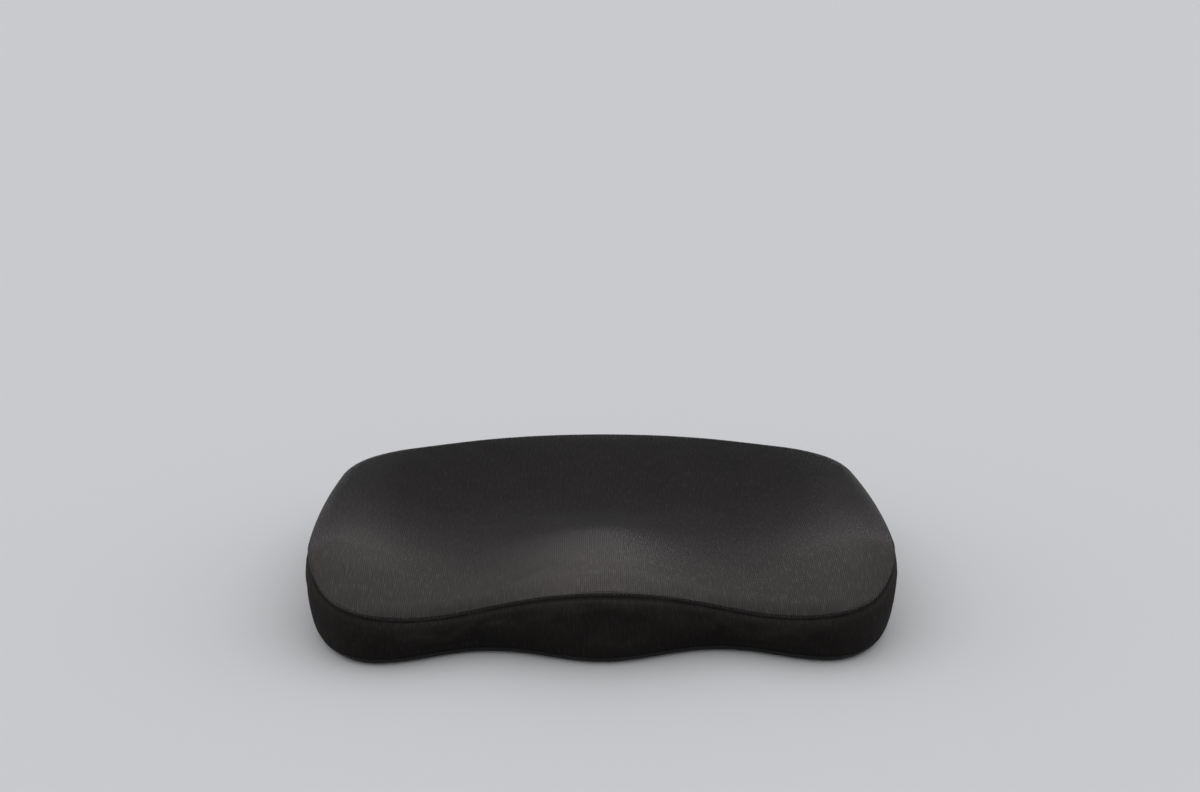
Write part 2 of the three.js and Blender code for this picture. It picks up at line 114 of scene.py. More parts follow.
# the wall between the two seams
CROWN_DROP = 6
CROWN_WIDTH = 13
CROWN_SHARPNESS = 2.6
SOFT_CROWN_WIDTH = 26
SOFT_POMMEL_X = (58, 96)
SOFT_CORNER_X = (160, 200)
SOFT_FRONT_Y = (-110, -40)
CORNER_SWELL = 4.0
CORNER_SWELL_X = 180
CORNER_SWELL_Y = -135
CORNER_SWELL_RADIUS = 48
WALL_LEAN = 3
REAR_WALL_START_Y = 60
REAR_WALL_FULL_Y = 156
TUCK_RADIUS = 12
BOTTOM_SEAM_ANGLE = math.radians(30)
SEAM_GAP = 1.1

# layers
COVER_THICKNESS = 1.6
BAND_SHEET = 1.4
STRIP_SHEET = 1.3
LINER_DEPTH = 1.9
LINER_THICKNESS = 0.8
FOAM_DEPTH = 3.0
REAR_CLEARANCE = 3.0
LINER_SHEET = 0.64
LINER_SEAM_HEIGHT = 14

# the zip
ZIP_OPENING = 10.4
JOIN_ANGLE = math.radians(22)
TAPE_END_ANGLE = math.radians(23.5)
COIL_END_ANGLE = math.radians(19.2)
TAPE_RADIUS = REAR_RADIUS - COVER_THICKNESS - 0.3
TAPE_THICKNESS = 0.7
COIL_RADIUS = TAPE_RADIUS + 0.3
COIL_THICKNESS = 1.6

# fineness of the meshes
STATION_STEP = 3.0
GRID_STEP = 3.4
JOIN_MARGIN = 0.12
SUNK_END = 1.6


# ---------------------------------------------------------------- outline and surface

def smoothstep(value, low, high):
    t = np.clip((np.asarray(value, float) - low) / (high - low), 0, 1)
    return t * t * (3 - 2 * t)


def mix(a, b, t):
    return a + (b - a) * t


def running(steps):
    """The running total of some steps, from 0."""
    return np.concatenate([[0], np.cumsum(steps)])


def bezier(points, count=200):
    t = np.linspace(0, 1, count)[:, None]
    a, b, c, d = (np.array(point, float) for point in points)
    return (1 - t) ** 3 * a + 3 * (1 - t) ** 2 * t * b + 3 * (1 - t) * t ** 2 * c + t ** 3 * d


def arc(centre, radius, start, end, count=200):
    angle = np.linspace(start, end, count)
    return np.stack([centre[0] + radius * np.cos(angle), centre[1] + radius * np.sin(angle)], 1)


def corner_centre(rear_centre, side_centre):
    """Centre of the circle that touches the rear and side circles from inside."""
    rear_reach = REAR_RADIUS - REAR_CORNER_RADIUS
    side_reach = SIDE_RADIUS - REAR_CORNER_RADIUS
    between = rear_centre - side_centre
    distance = np.linalg.norm(between)
    along = (side_reach ** 2 - rear_reach ** 2 + distance ** 2) / (2 * distance)
    across = math.sqrt(side_reach ** 2 - along ** 2)
    unit = between / distance
    return side_centre + unit * along + np.array([-unit[1], unit[0]]) * across


def right_half_outline():
    """Points from the middle of the front edge, round the right side, to the rear's middle."""
    rear_centre = ARC_CENTRE[:2]
    side_centre = np.array([WIDTH / 2 - SIDE_RADIUS, WIDEST_Y])
    corner = corner_centre(rear_centre, side_centre)
    rise = (FRONT_CORNER_START_Y - WIDEST_Y) / SIDE_RADIUS
    reach = math.sqrt(1 - rise ** 2)
    side = np.array([side_centre[0] + SIDE_RADIUS * reach, FRONT_CORNER_START_Y])
    recess_y = FRONT_Y + FRONT_RECESS_DEPTH
    pommel_reach = FRONT_RECESS_X * RECESS_HANDLE
    lobe_reach = (FRONT_LOBE_X - FRONT_RECESS_X) * RECESS_HANDLE
    corner_reach_x = (side[0] - FRONT_LOBE_X) * CORNER_HANDLE
    corner_reach_y = (FRONT_CORNER_START_Y - FRONT_Y) * CORNER_HANDLE
    before_side = side - np.array([-rise, reach]) * corner_reach_y
    recess = (FRONT_RECESS_X, recess_y)
    lobe = (FRONT_LOBE_X, FRONT_Y)
    side_end = math.atan2(*(corner - side_centre)[::-1])
    corner_end = math.atan2(*(corner - rear_centre)[::-1])
    stretches = [
        bezier([
            (0, FRONT_Y), (pommel_reach, FRONT_Y),
            (FRONT_RECESS_X - pommel_reach, recess_y), recess,
        ]),
        bezier([
            recess, (FRONT_RECESS_X + lobe_reach, recess_y),
            (FRONT_LOBE_X - lobe_reach, FRONT_Y), lobe,
        ]),
        bezier([lobe, (FRONT_LOBE_X + corner_reach_x, FRONT_Y), before_side, side]),
        arc(side_centre, SIDE_RADIUS, math.asin(rise), side_end),
        arc(corner, REAR_CORNER_RADIUS, side_end, corner_end),
        arc(rear_centre, REAR_RADIUS, corner_end, math.pi / 2, 400),
    ]
    return np.concatenate([stretches[0][:1]] + [stretch[1:] for stretch in stretches])


class Outline:
    """The closed plan curve, counterclockwise, measured by arc length from the rear's middle."""

    def __init__(self):
        right = right_half_outline()
        left = right[1:-1][::-1] * (-1, 1)
        points = np.concatenate([right[-1:], left, right[:-1]])
        ahead = np.roll(points, -1, 0)
        tangent = ahead - np.roll(points, 1, 0)
        tangent /= np.linalg.norm(tangent, axis=1)[:, None]
        step = np.linalg.norm(ahead - points, axis=1)
        self.length = step.sum()
        self.place = running(step)[:-1]
        self.points = points
        self.normals = np.stack([tangent[:, 1], -tangent[:, 0]], 1)

    def at(self, place):
        """Points and outward normals at the given arc lengths."""
        def read(values):
            return np.stack([
                np.interp(place, self.place, values[:, axis], period=self.length) for axis in (0, 1)
            ], 1)
        normals = read(self.normals)
        return read(self.points), normals / np.linalg.norm(normals, axis=1)[:, None]


def seat_height(x, y):
    across = np.abs(x)
    channel = mix(CHANNEL_FRONT_HEIGHT, DISH_HEIGHT, smoothstep(y, FRONT_Y, CHANNEL_END_Y))
    bolster_rise = smoothstep(y, BOLSTER_START_Y, BOLSTER_FULL_Y)
    bolster_top = mix(FRONT_CORNER_HEIGHT, RIM_HEIGHT, bolster_rise)
    bolster = smoothstep(across, CHANNEL_X, BOLSTER_X)
    pommel_across = np.minimum(across / POMMEL_HALF_WIDTH, 1)
    pommel_fade = 1 - smoothstep(y, POMMEL_FULL_Y, POMMEL_END_Y)
    pommel = POMMEL_RISE * np.cos(pommel_across * math.pi / 2) ** 2 * pommel_fade
    seat = mix(channel + pommel, bolster_top, bolster)
    return mix(seat, RIM_HEIGHT, smoothstep(y, DISH_END_Y, RIM_FULL_Y))


def crown_softness(edge):
    """How far the rolled edge widens: fully at the pommel and the front corners."""
    across = np.abs(edge[:, 0])
    front = 1 - smoothstep(edge[:, 1], *SOFT_FRONT_Y)
    pommel = 1 - smoothstep(across, *SOFT_POMMEL_X)
    return front * np.maximum(pommel, smoothstep(across, *SOFT_CORNER_X))


def crown_drop(plan, edge, distance):
    """Fall of the cover below the plain seat surface, beside a place on the outline."""
    width = mix(CROWN_WIDTH, SOFT_CROWN_WIDTH, crown_softness(edge))
    drop = CROWN_DROP * (1 - np.minimum(distance / width, 1)) ** CROWN_SHARPNESS
    from_corner = np.hypot(np.abs(plan[:, 0]) - CORNER_SWELL_X, plan[:, 1] - CORNER_SWELL_Y)
    swell = np.exp(-(from_corner / CORNER_SWELL_RADIUS) ** 2)
    return drop - CORNER_SWELL * (swell * smoothstep(distance, 0, SOFT_CROWN_WIDTH))


outline = Outline()


def edge_of(plan):
    """The nearest point of the outline to each place, and how far away it is."""
    nearest = np.concatenate([
        np.argmin(np.linalg.norm(part[:, None] - outline.points, axis=2), axis=1)
        for part in np.array_split(plan, 20)
    ])
    edge = outline.points[nearest]
    return edge, np.linalg.norm(plan - edge, axis=1)


def panel_height(plan):
    """Height of the cover at any place inside the outline."""
    edge, distance = edge_of(plan)
    return seat_height(*plan.T) - crown_drop(plan, edge, distance)


class Stations:
    """Places along the outline, with what each surface needs to know there."""

    def __init__(self, start, end, closed=False, step=STATION_STEP, close_ends=False):
        count = max(2, round((end - start) / step))
        self.place = np.linspace(start, end, count + 1)
        if closed:
            self.place = self.place[:-1]
        if close_ends:
            extra = np.array([0.5, 1.1, 2.0])
            self.place = np.sort(np.concatenate([self.place, start + extra, end - extra]))
        self.closed = closed
        self.point, self.normal = outline.at(self.place)
        self.to_end = np.minimum(self.place - self.place[0], self.place[-1] - self.place)
        self.rear = smoothstep(self.point[:, 1], REAR_WALL_START_Y, REAR_WALL_FULL_Y)
        self.seam = seat_height(*self.point.T) - CROWN_DROP - SEAM_GAP / 2

    def inset(self, distance):
        return self.point - self.normal * np.asarray(distance)[..., None]

    def lift(self, distance, height):
        plan = self.inset(np.broadcast_to(distance, self.place.shape))
        return np.column_stack([plan, np.broadcast_to(height, self.place.shape)])

    def push(self, row, amount):
        """Move a row outwards, and give it back."""
        row[:, :2] += self.normal * np.broadcast_to(amount, self.place.shape)[:, None]
        return row

    def tuck(self, depth, angle, rear_gap=0):
        shift = mix(WALL_LEAN, rear_gap, self.rear)
        radius = TUCK_RADIUS - depth
        inset = shift + TUCK_RADIUS - radius * math.cos(angle)
        return self.lift(inset, TUCK_RADIUS - radius * math.sin(angle))

    def wall(self, depth, height, rear_gap=0):
        height = np.broadcast_to(height, self.place.shape)
        climb = (height - TUCK_RADIUS) / (self.seam - TUCK_RADIUS)
        low = mix(WALL_LEAN, rear_gap, self.rear)
        high = rear_gap * self.rear
        return self.lift(mix(low, high, climb) + depth, height)

    def crown(self, depth, fraction, rear_gap=0):
        inset = mix(depth + rear_gap * self.rear, CROWN_WIDTH, fraction)
        plan = self.inset(inset)
        drop = crown_drop(plan, self.point, fraction * CROWN_WIDTH)
        return np.column_stack([plan, seat_height(*plan.T) - drop - depth])


def along(angle):
    """Arc length of a place on the rear arc, counted from the rear's middle towards -X."""
    return angle * REAR_RADIUS


all_round = Stations(0, outline.length, closed=True)
left_join = along(JOIN_ANGLE)
right_join = outline.length - along(JOIN_ANGLE)
front_strip = Stations(left_join + JOIN_MARGIN, right_join - JOIN_MARGIN, close_ends=True)
rear_strip = Stations(JOIN_MARGIN - left_join, left_join - JOIN_MARGIN, close_ends=True)


# ---------------------------------------------------------------- meshes

def add_object(name, data):
    made = bpy.data.objects.new(name, data)
    scene.collection.objects.link(made)
    return made


def make_piece(name, vertices, faces, uv=None, body=BODY):
    """A new object from millimetre vertices, riding on a body."""
    mesh = bpy.data.meshes.new(name)
    mesh.from_pydata((np.asarray(vertices) * MM).tolist(), [], [tuple(face) for face in faces])
    if uv is not None:
        layer = mesh.uv_layers.new(name="cloth")
        corners = np.zeros(len(mesh.loops), dtype=np.int32)
        mesh.loops.foreach_get("vertex_index", corners)
        layer.data.foreach_set("uv", (np.asarray(uv)[corners] * MM).ravel())
    mesh.shade_smooth()
    piece = add_object(name, mesh)
    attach(piece, body)
    return piece


def grid_faces(rows, columns, closed=False, offset=0):
    """Quads of a grid of rows by columns, whose columns join up if closed."""
    span = columns if closed else columns - 1
    faces = []
    for row in range(rows - 1):
        for column in range(span):
            across = (column + 1) % columns
            faces.append((
                offset + row * columns + column,
                offset + row * columns + across,
                offset + (row + 1) * columns + across,
                offset + (row + 1) * columns + column,
            ))
    return faces


def strip_piece(name, rows, stations, sunk_ends=0.0):
    """A band of cloth from rows of points, with its own flat coordinates as UVs."""
    closed = stations.closed
    grid = np.array(rows)
    if sunk_ends:
        sinking = sunk_ends * np.exp(-stations.to_end / 1.4)
        grid[:, :, :2] -= stations.normal * sinking[:, None]
    height = running(np.linalg.norm(np.diff(grid, axis=0), axis=2).mean(axis=1))
    u, v = np.meshgrid(stations.place, height)
    faces = grid_faces(len(rows), grid.shape[1], closed)
    return make_piece(name, grid.reshape(-1, 3), faces, np.column_stack([u.ravel(), v.ravel()]))


def places_of(mesh):
    places = np.zeros(len(mesh.vertices) * 3)
    mesh.vertices.foreach_get("co", places)
    return places.reshape(-1, 3)


def thicken(piece, thickness):
    """Give a sheet its thickness on the inner side."""
    solid = piece.modifiers.new("thickness", "SOLIDIFY")
    solid.thickness = thickness * MM
    solid.offset = -1
    solid.use_even_offset = True
    return piece


def inside(points, polygon):
    """Which points lie in a polygon, by counting the edges that each one sees to its right."""
    x, y = points[:, 0][:, None], points[:, 1][:, None]
    start, end = polygon, np.roll(polygon, -1, 0)
    spans = (start[:, 1] > y) != (end[:, 1] > y)
    rise = end[:, 1] - start[:, 1]
    rise = np.where(rise == 0, 1e-9, rise)
    crossing = start[:, 0] + (y - start[:, 1]) * (end[:, 0] - start[:, 0]) / rise
    return (spans & (x < crossing)).sum(axis=1) % 2 == 1


def staggered_places(extent, edge, step):
    """Staggered rows of places across an extent, kept where they lie inside an edge."""
    low, high = extent.min(0), extent.max(0)
    places = []
    for index, y in enumerate(np.arange(low[1], high[1], step * math.sqrt(3) / 2)):
        x = np.arange(low[0] + (index % 2) * step / 2, high[0], step)
        places.append(np.column_stack([x, np.full(len(x), y)]))
    places = np.concatenate(places)
    return places[inside(places, edge)]


def fill_plan(boundary, margin, step):
    """Triangles over the inside of a closed plan ring: its points, then a regular lattice."""
    points = np.concatenate([boundary, staggered_places(boundary, all_round.inset(margin), step)])
    edges = [(index, (index + 1) % len(boundary)) for index in range(len(boundary))]
    found = delaunay_2d_cdt([Vector(point) for point in points], edges, [], 1, 1e-5)
    return np.array([tuple(point) for point in found[0]]), [tuple(face) for face in found[2]]


WELD_DISTANCE = 0.01


def put_back(work, piece):
    """Give a piece its worked mesh, facing one way all over."""
    bmesh.ops.recalc_face_normals(work, faces=work.faces)
    work.to_mesh(piece.data)
    work.free()
    piece.data.shade_smooth()


def closed_sheet(name, rows, rim, margin, step, height, order=1):
    """Rows of cloth all round, closed over inside their rim by a lattice of the given height."""
    plan, triangles = fill_plan(rim[:, :2], margin, step)
    middle = np.column_stack([plan, np.broadcast_to(height(plan), len(plan))])
    vertices = np.concatenate([np.array(rows).reshape(-1, 3), middle])
    offset = len(vertices) - len(middle)
    faces = grid_faces(len(rows), len(rim), True)
    faces += [tuple(offset + index for index in triangle[::order]) for triangle in triangles]
    piece = make_piece(name, vertices, faces, vertices[:, :2])
    work = bmesh.new()
    work.from_mesh(piece.data)
    bmesh.ops.remove_doubles(work, verts=work.verts, dist=WELD_DISTANCE * MM)
    put_back(work, piece)
    return piece


def pucker(place, wavelength, seed):
    """Uneven little gathers along a seam, from -1 to 1, the same in every run."""
    ratio = 2 * math.pi / outline.length
    radius = outline.length / wavelength / (2 * math.pi)
    return np.array([
        noise.noise(Vector((radius * math.cos(s * ratio), radius * math.sin(s * ratio), seed)))
        for s in place
    ])


SETTLING_FRAMES = 14
KNIT_BEHAVIOUR = {
    "quality": 6,
    "mass": 0.02,
    "tension_stiffness": 25,
    "compression_stiffness": 25,
    "shear_stiffness": 10,
    "bending_stiffness": 0.6,
    "use_pressure": True,
}


def relax(piece, share, pressure, slack, cap):
    """Swell a sheet by cloth simulation, held where its share is 0, and keep that share of it.

    The pressure fills it from below, slack lets its cloth grow by that share, and cap, in
    millimetres, is the most that any place may end up moved.
    """
    pinned = np.flatnonzero(share <= 0)
    group = piece.vertex_groups.new(name="pinned")
    group.add([int(index) for index in pinned], 1.0, "REPLACE")
    cloth = piece.modifiers.new("cloth", "CLOTH")
    settings = cloth.settings
    settings.vertex_group_mass = group.name
    for key, value in KNIT_BEHAVIOUR.items():
        setattr(settings, key, value)
    settings.uniform_pressure_force = pressure
    settings.shrink_min = -slack
    settings.effector_weights.gravity = 0
    cloth.point_cache.frame_start = 1
    cloth.point_cache.frame_end = SETTLING_FRAMES
    for number in range(1, SETTLING_FRAMES + 1):
        scene.frame_set(number)
    settled = piece.evaluated_get(bpy.context.evaluated_depsgraph_get()).to_mesh()
    before = places_of(piece.data)
    move = places_of(settled) - before
    length = np.linalg.norm(move, axis=1)
    limit = cap * MM
    kept = np.tanh(length / limit) * limit / np.maximum(length, 1e-9) * np.clip(share, 0, 1)
    piece.modifiers.remove(cloth)
    piece.vertex_groups.remove(group)
    piece.data.vertices.foreach_set("co", (before + move * kept[:, None]).ravel())
    piece.data.update()
    scene.frame_set(1)


# ---------------------------------------------------------------- materials

SOCKETS = {
    "metallic": "Metallic",
    "sheen_weight": "Sheen Weight",
    "sheen_roughness": "Sheen Roughness",
    "specular_level": "Specular IOR Level",
    "subsurface_weight": "Subsurface Weight",
    "subsurface_scale": "Subsurface Scale",
}


class Shader:
    """A material's node tree, with short ways to add and join nodes."""

    def __init__(self, name):
        self.material = bpy.data.materials.new(name)
        self.material.use_nodes = True
        self.tree = self.material.node_tree
        self.surface = self.tree.nodes["Principled BSDF"]

    def node(self, kind, **settings):
        made = self.tree.nodes.new("ShaderNode" + kind)
        for key, value in settings.items():
            setattr(made, key, value)
        return made

    def link(self, source, target):
        self.tree.links.new(source, target)

    def put(self, value, socket):
        if isinstance(value, bpy.types.NodeSocket):
            self.link(value, socket)
        else:
            socket.default_value = value

    def math(self, operation, *values):
        made = self.node("Math", operation=operation)
        for value, socket in zip(values, made.inputs):
            self.put(value, socket)
        return made.outputs[0]

    def cloth_coordinates(self):
        """The flat pattern's own place on the cloth, whole and as its two parts."""
        flat = self.node("UVMap", uv_map="cloth").outputs["UV"]
        split = self.node("SeparateXYZ")
        self.link(flat, split.inputs[0])
        return flat, split.outputs["X"], split.outputs["Y"]

    def solid(self):
        return self.node("TexCoord").outputs["Object"]

    def times(self, first, second):
        return self.math("MULTIPLY", first, second)

    def scaled(self, value, factor, offset):
        """The value times the factor, plus the offset."""
        return self.math("MULTIPLY_ADD", value, factor, offset)

    def wave(self, phase):
        """A cosine of the phase, brought between 0 and 1."""
        return self.scaled(self.math("COSINE", phase), 0.5, 0.5)

    def blend(self, factor, first, second):
        made = self.node("Mix", data_type="RGBA")
        self.put(factor, made.inputs["Factor"])
        self.put(first, made.inputs["A"])
        self.put(second, made.inputs["B"])
        return made.outputs["Result"]

    def ramp(self, value, *stops):
        made = self.node("ValToRGB")
        elements = made.color_ramp.elements
        while len(elements) < len(stops):
            elements.new(0.5)
        for element, (position, level) in zip(elements, stops):
            element.position = position
            element.color = (level, level, level, 1)
        self.put(value, made.inputs["Fac"])
        return made.outputs["Color"]

    def noise(self, coordinates, scale, detail=3.0, roughness=0.55):
        made = self.node("TexNoise")
        made.inputs["Scale"].default_value = scale
        made.inputs["Detail"].default_value = detail
        made.inputs["Roughness"].default_value = roughness
        self.link(coordinates, made.inputs["Vector"])
        return made.outputs["Fac"]

    def bump(self, height, distance, strength=1.0, under=None):
        made = self.node("Bump")
        made.inputs["Strength"].default_value = strength
        made.inputs["Distance"].default_value = distance * MM
        self.link(height, made.inputs["Height"])
        if under is not None:
            self.link(under, made.inputs["Normal"])
        self.link(made.outputs["Normal"], self.surface.inputs["Normal"])
        return made.outputs["Normal"]

    def finish(self, colour, roughness, **sockets):
        self.put(colour, self.surface.inputs["Base Color"])
        self.put(roughness, self.surface.inputs["Roughness"])
        for key, value in sockets.items():
            self.surface.inputs[SOCKETS[key]].default_value = value
        return self.material


def opaque(*rgb):
    return (*rgb, 1)


def rib_knit(name, dark, light, sheen, rib=1.5, course=1.05):
    """A fine rib knit: upright wales, small stitches along them, and a short nap."""
    shader = Shader(name)
    flat, u, v = shader.cloth_coordinates()
    solid = shader.solid()
    turn = 2 * math.pi / MM
    drift = shader.times(shader.noise(flat, 90, 1.0), 1.1)
    across = shader.math("ADD", shader.times(u, turn / rib), drift)
    wale = shader.wave(across)
    lean = shader.times(wale, 1.6)
    upward = shader.math("ADD", shader.times(v, turn / course), lean)
    stitch = shader.wave(upward)
    nap = shader.noise(solid, 2600, 2.0, 0.7)
    stitched = shader.scaled(shader.times(stitch, wale), 0.3, wale)
    height = shader.scaled(nap, 0.35, stitched)
    worn = shader.noise(solid, 24, 4.0, 0.6)
    slub = shader.node("CombineXYZ")
    shader.link(u, slub.inputs["X"])
    shader.link(shader.times(v, 0.16), slub.inputs["Y"])
    streak = shader.ramp(shader.noise(slub.outputs[0], 620, 2.0, 0.6), (0.52, 0.0), (0.74, 1.0))
    # Colour is lighter on the wale crests and darker in the grooves between them, which is painted
    # shade in the rib valleys; the nap, the broad mottle and the slub streaks are the cloth's own
    # uneven tone.
    tone = shader.scaled(wale, 0.3, shader.times(nap, 0.25))
    tone = shader.scaled(worn, 0.3, tone)
    tone = shader.scaled(streak, 0.4, tone)
    colour = shader.blend(shader.ramp(tone, (0.2, 0.0), (1.0, 1.0)), opaque(*dark), opaque(*light))
    shader.bump(height, 0.22, 0.7)
    roughness = shader.scaled(nap, 0.1, 0.86)
    return shader.finish(
        colour, roughness,
        sheen_weight=sheen, sheen_roughness=0.5, specular_level=0.04,
    )


def plain_weave(name, dark, light, pitch=0.7, relief=0.12, sheen=0.08, roughness=0.85):
    """A plain woven cloth: one yarn over, one under."""
    shader = Shader(name)
    u, v = shader.cloth_coordinates()[1:]
    solid = shader.solid()
    turn = math.pi / MM / pitch
    warp = shader.math("SINE", shader.times(u, turn))
    weft = shader.math("SINE", shader.times(v, turn))
    weave = shader.scaled(shader.times(warp, weft), 0.5, 0.5)
    fuzz = shader.noise(solid, 1800, 2.0, 0.7)
    height = shader.scaled(fuzz, 0.3, weave)
    broad = shader.noise(solid, 40, 3.0)
    tone = shader.scaled(weave, 0.4, shader.times(broad, 0.6))
    colour = shader.blend(tone, opaque(*dark), opaque(*light))
    shader.bump(height, relief, 0.7)
    return shader.finish(
        colour, shader.scaled(fuzz, 0.1, roughness - 0.05),
        sheen_weight=sheen, sheen_roughness=0.5, specular_level=0.25,
    )


def moulded(name, dark, light, roughness, relief=0.05, grain=900, **sockets):
    """Moulded plastic, rubber or painted metal with a fine grain."""
    shader = Shader(name)
    solid = shader.solid()
    fine = shader.noise(solid, grain, 3.0)
    broad = shader.noise(solid, 60, 4.0)
    colour = shader.blend(broad, opaque(*dark), opaque(*light))
    shader.bump(fine, relief, 0.5)
    rough = shader.scaled(fine, 0.12, roughness - 0.06)
    return shader.finish(colour, rough, **sockets)


def foam_material():
    """Moulded polyurethane: a thin, slightly glossy skin with pinholes and a soft mottle."""
    shader = Shader("memory_foam")
    solid = shader.solid()
    cells = shader.node("TexVoronoi")
    cells.inputs["Scale"].default_value = 900
    shader.link(solid, cells.inputs["Vector"])
    pores = shader.ramp(cells.outputs["Distance"], (0.05, 0.0), (0.3, 1.0))
    broad = shader.noise(solid, 14, 4.0)
    # The pinholes are darker in the colour as well as sunk by the bump, which is painted shade in
    # the pits; the broad mottle is the foam's own tone.
    tone = shader.times(shader.scaled(pores, 0.4, 0.6), broad)
    colour = shader.blend(tone, opaque(0.62, 0.53, 0.38), opaque(0.84, 0.78, 0.64))
    shader.bump(pores, 0.2, 0.5)
    return shader.finish(
        colour, 0.9, subsurface_weight=0.15, subsurface_scale=0.004, sheen_weight=0.1,
    )


SEAT_KNIT = rib_knit("seat_knit", (0.0064, 0.0057, 0.0056), (0.0208, 0.0185, 0.0182), 0.018)
GUSSET_KNIT = rib_knit("gusset_knit", (0.0062, 0.0056, 0.0052), (0.0194, 0.0174, 0.0163), 0.0)
GRIP_CLOTH = plain_weave("grip_cloth", (0.004, 0.004, 0.0042), (0.0125, 0.0122, 0.0122), 0.8,
                         sheen=0.01)
GRIP_RUBBER = moulded("grip_rubber", (0.012, 0.012, 0.013), (0.022, 0.022, 0.024), 0.5)
SEAM_THREAD = moulded("seam_thread", (0.014, 0.013, 0.012), (0.034, 0.031, 0.029), 0.6,
                      relief=0.08, grain=2500, sheen_weight=0.2)
TAPE_WEAVE = plain_weave("tape_weave", (0.008, 0.008, 0.008), (0.026, 0.026, 0.027), 0.5)
COIL_NYLON = moulded("coil_nylon", (0.014, 0.014, 0.015), (0.028, 0.028, 0.03), 0.3, 0.02)
ZIP_METAL = moulded("zip_metal", (0.09, 0.09, 0.095), (0.16, 0.16, 0.165), 0.28,
                    relief=0.02, grain=500, metallic=1.0)
LABEL_SATIN = plain_weave("label_satin", (0.26, 0.25, 0.235), (0.36, 0.35, 0.33), 0.35,
                          relief=0.05, sheen=0.2, roughness=0.45)
LINER_KNIT = rib_knit("liner_knit", (0.42, 0.4, 0.36), (0.66, 0.64, 0.59), 0.15, 1.2, 0.9)
MEMORY_FOAM = foam_material()


def dress(piece, material, slot, *nodes):
    """Give a piece its material and hide any CAD nodes it stands for; its slot is not used."""
    piece.data.materials.clear()
    piece.data.materials.append(material)
    if nodes:
        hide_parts(*nodes)
    return piece


def upholster(piece, thickness, material, slot, node):
    """Finish a padded piece of the cover or of the liner."""
    thicken(piece, thickness)
    dress(piece, material, slot, node)


# ---------------------------------------------------------------- cover

def seam_roll(stations, sign):
    """Rows from inside the upper seam out over a panel's rolled edge, above (+1) or below."""
    rows = []
    for inset, rise in ((2.2, 0.3), (1.4, 0.12), (0.8, 0.14), (0.35, 0.4), (0.1, 0.9)):
        rows.append(stations.lift(inset, stations.seam + sign * rise))
    return rows


def add_top_panel():
    stations = all_round
    rows = seam_roll(stations, 1)
    gathers = pucker(stations.place, 9.0, 3.1)
    for distance in (0.8, 1.9, 3.2, 4.8, 6.8, 9.2, 12.0):
        row = stations.crown(0, distance / CROWN_WIDTH)
        fade = math.exp(-distance / 3.5)
        row[:, 2] += 0.35 * fade * (1 + gathers)
        rows.append(row)
    rim = stations.crown(0, 1.0)
    rows.append(rim)
    margin = CROWN_WIDTH + GRID_STEP * 0.6
    piece = closed_sheet("seat_panel", rows, rim, margin, GRID_STEP, panel_height)
    distance = edge_of(places_of(piece.data)[:, :2] / MM)[1]
    relax(piece, smoothstep(distance, 4, 40), 1.5, 0.004, 1.0)
    upholster(piece, COVER_THICKNESS, SEAT_KNIT, "seat_knit", "top_panel")


def seam_bulge(below):
    """How far a band swells outwards at a height below the seam that pulls it in."""
    return 2.3 * (1 - np.exp(-below / 3.4)) - 0.5


SEAM_ROLL_DROP = 1.9
FOLD_EDGE_DROP = 1.2


def gusset_rows(stations, top, with_seam):
    """Rows of a side band from its top edge, a seam or a fold, down to the bottom seam."""
    low_angle = BOTTOM_SEAM_ANGLE - SEAM_GAP / 2 / TUCK_RADIUS
    gathers = pucker(stations.place, 11.0, 7.7)
    fine = pucker(stations.place, 5.0, 1.3)
    low_gathers = pucker(stations.place, 13.0, 5.2)
    rows = seam_roll(stations, -1) if with_seam else [
        stations.wall(2.2, top + 0.9), stations.wall(0.9, top + 0.1),
        stations.wall(0.15, top), stations.wall(-0.05, top - 0.5),
    ]
    start = top - (SEAM_ROLL_DROP if with_seam else FOLD_EDGE_DROP)
    for t in np.linspace(0, 1, 18):
        height = mix(start, TUCK_RADIUS, t)
        below = start - height
        above = height - TUCK_RADIUS
        roll = seam_bulge(below) * (1 - t ** 3) if with_seam else 0.0
        folds = (0.45 * gathers + 0.2 * fine) * np.exp(-below / 7.0) if with_seam else 0.0
        folds = folds + 0.5 * low_gathers * np.exp(-above / 9.0)
        bulge = roll + folds + 0.6 * np.sin(math.pi * t)
        rows.append(stations.push(stations.wall(0, height), bulge))
    for step in (0.35, 0.7, 1.0):
        folds = 0.5 * low_gathers * (1 - 0.5 * step)
        rows.append(stations.push(stations.tuck(0, low_angle * step), folds))
    rows.append(stations.tuck(1.6, low_angle + 0.02))
    return rows


def add_side_band():
    """The long band, from one upright join round the sides and the front to the other."""
    stations = front_strip
    top = stations.seam
    rows = gusset_rows(stations, top, True)[::-1]
    piece = strip_piece("side_gusset_cloth", rows, stations, SUNK_END)
    height = np.array(rows)[:, :, 2]
    share = smoothstep(height, TUCK_RADIUS - 6, TUCK_RADIUS + 4) * smoothstep(top - height, 5, 16)
    share = share * smoothstep(stations.to_end, 2, 20)
    relax(piece, share.ravel(), 1.5, 0.01, 1.2)
    upholster(piece, BAND_SHEET, GUSSET_KNIT, "gusset_knit", "side_gusset")


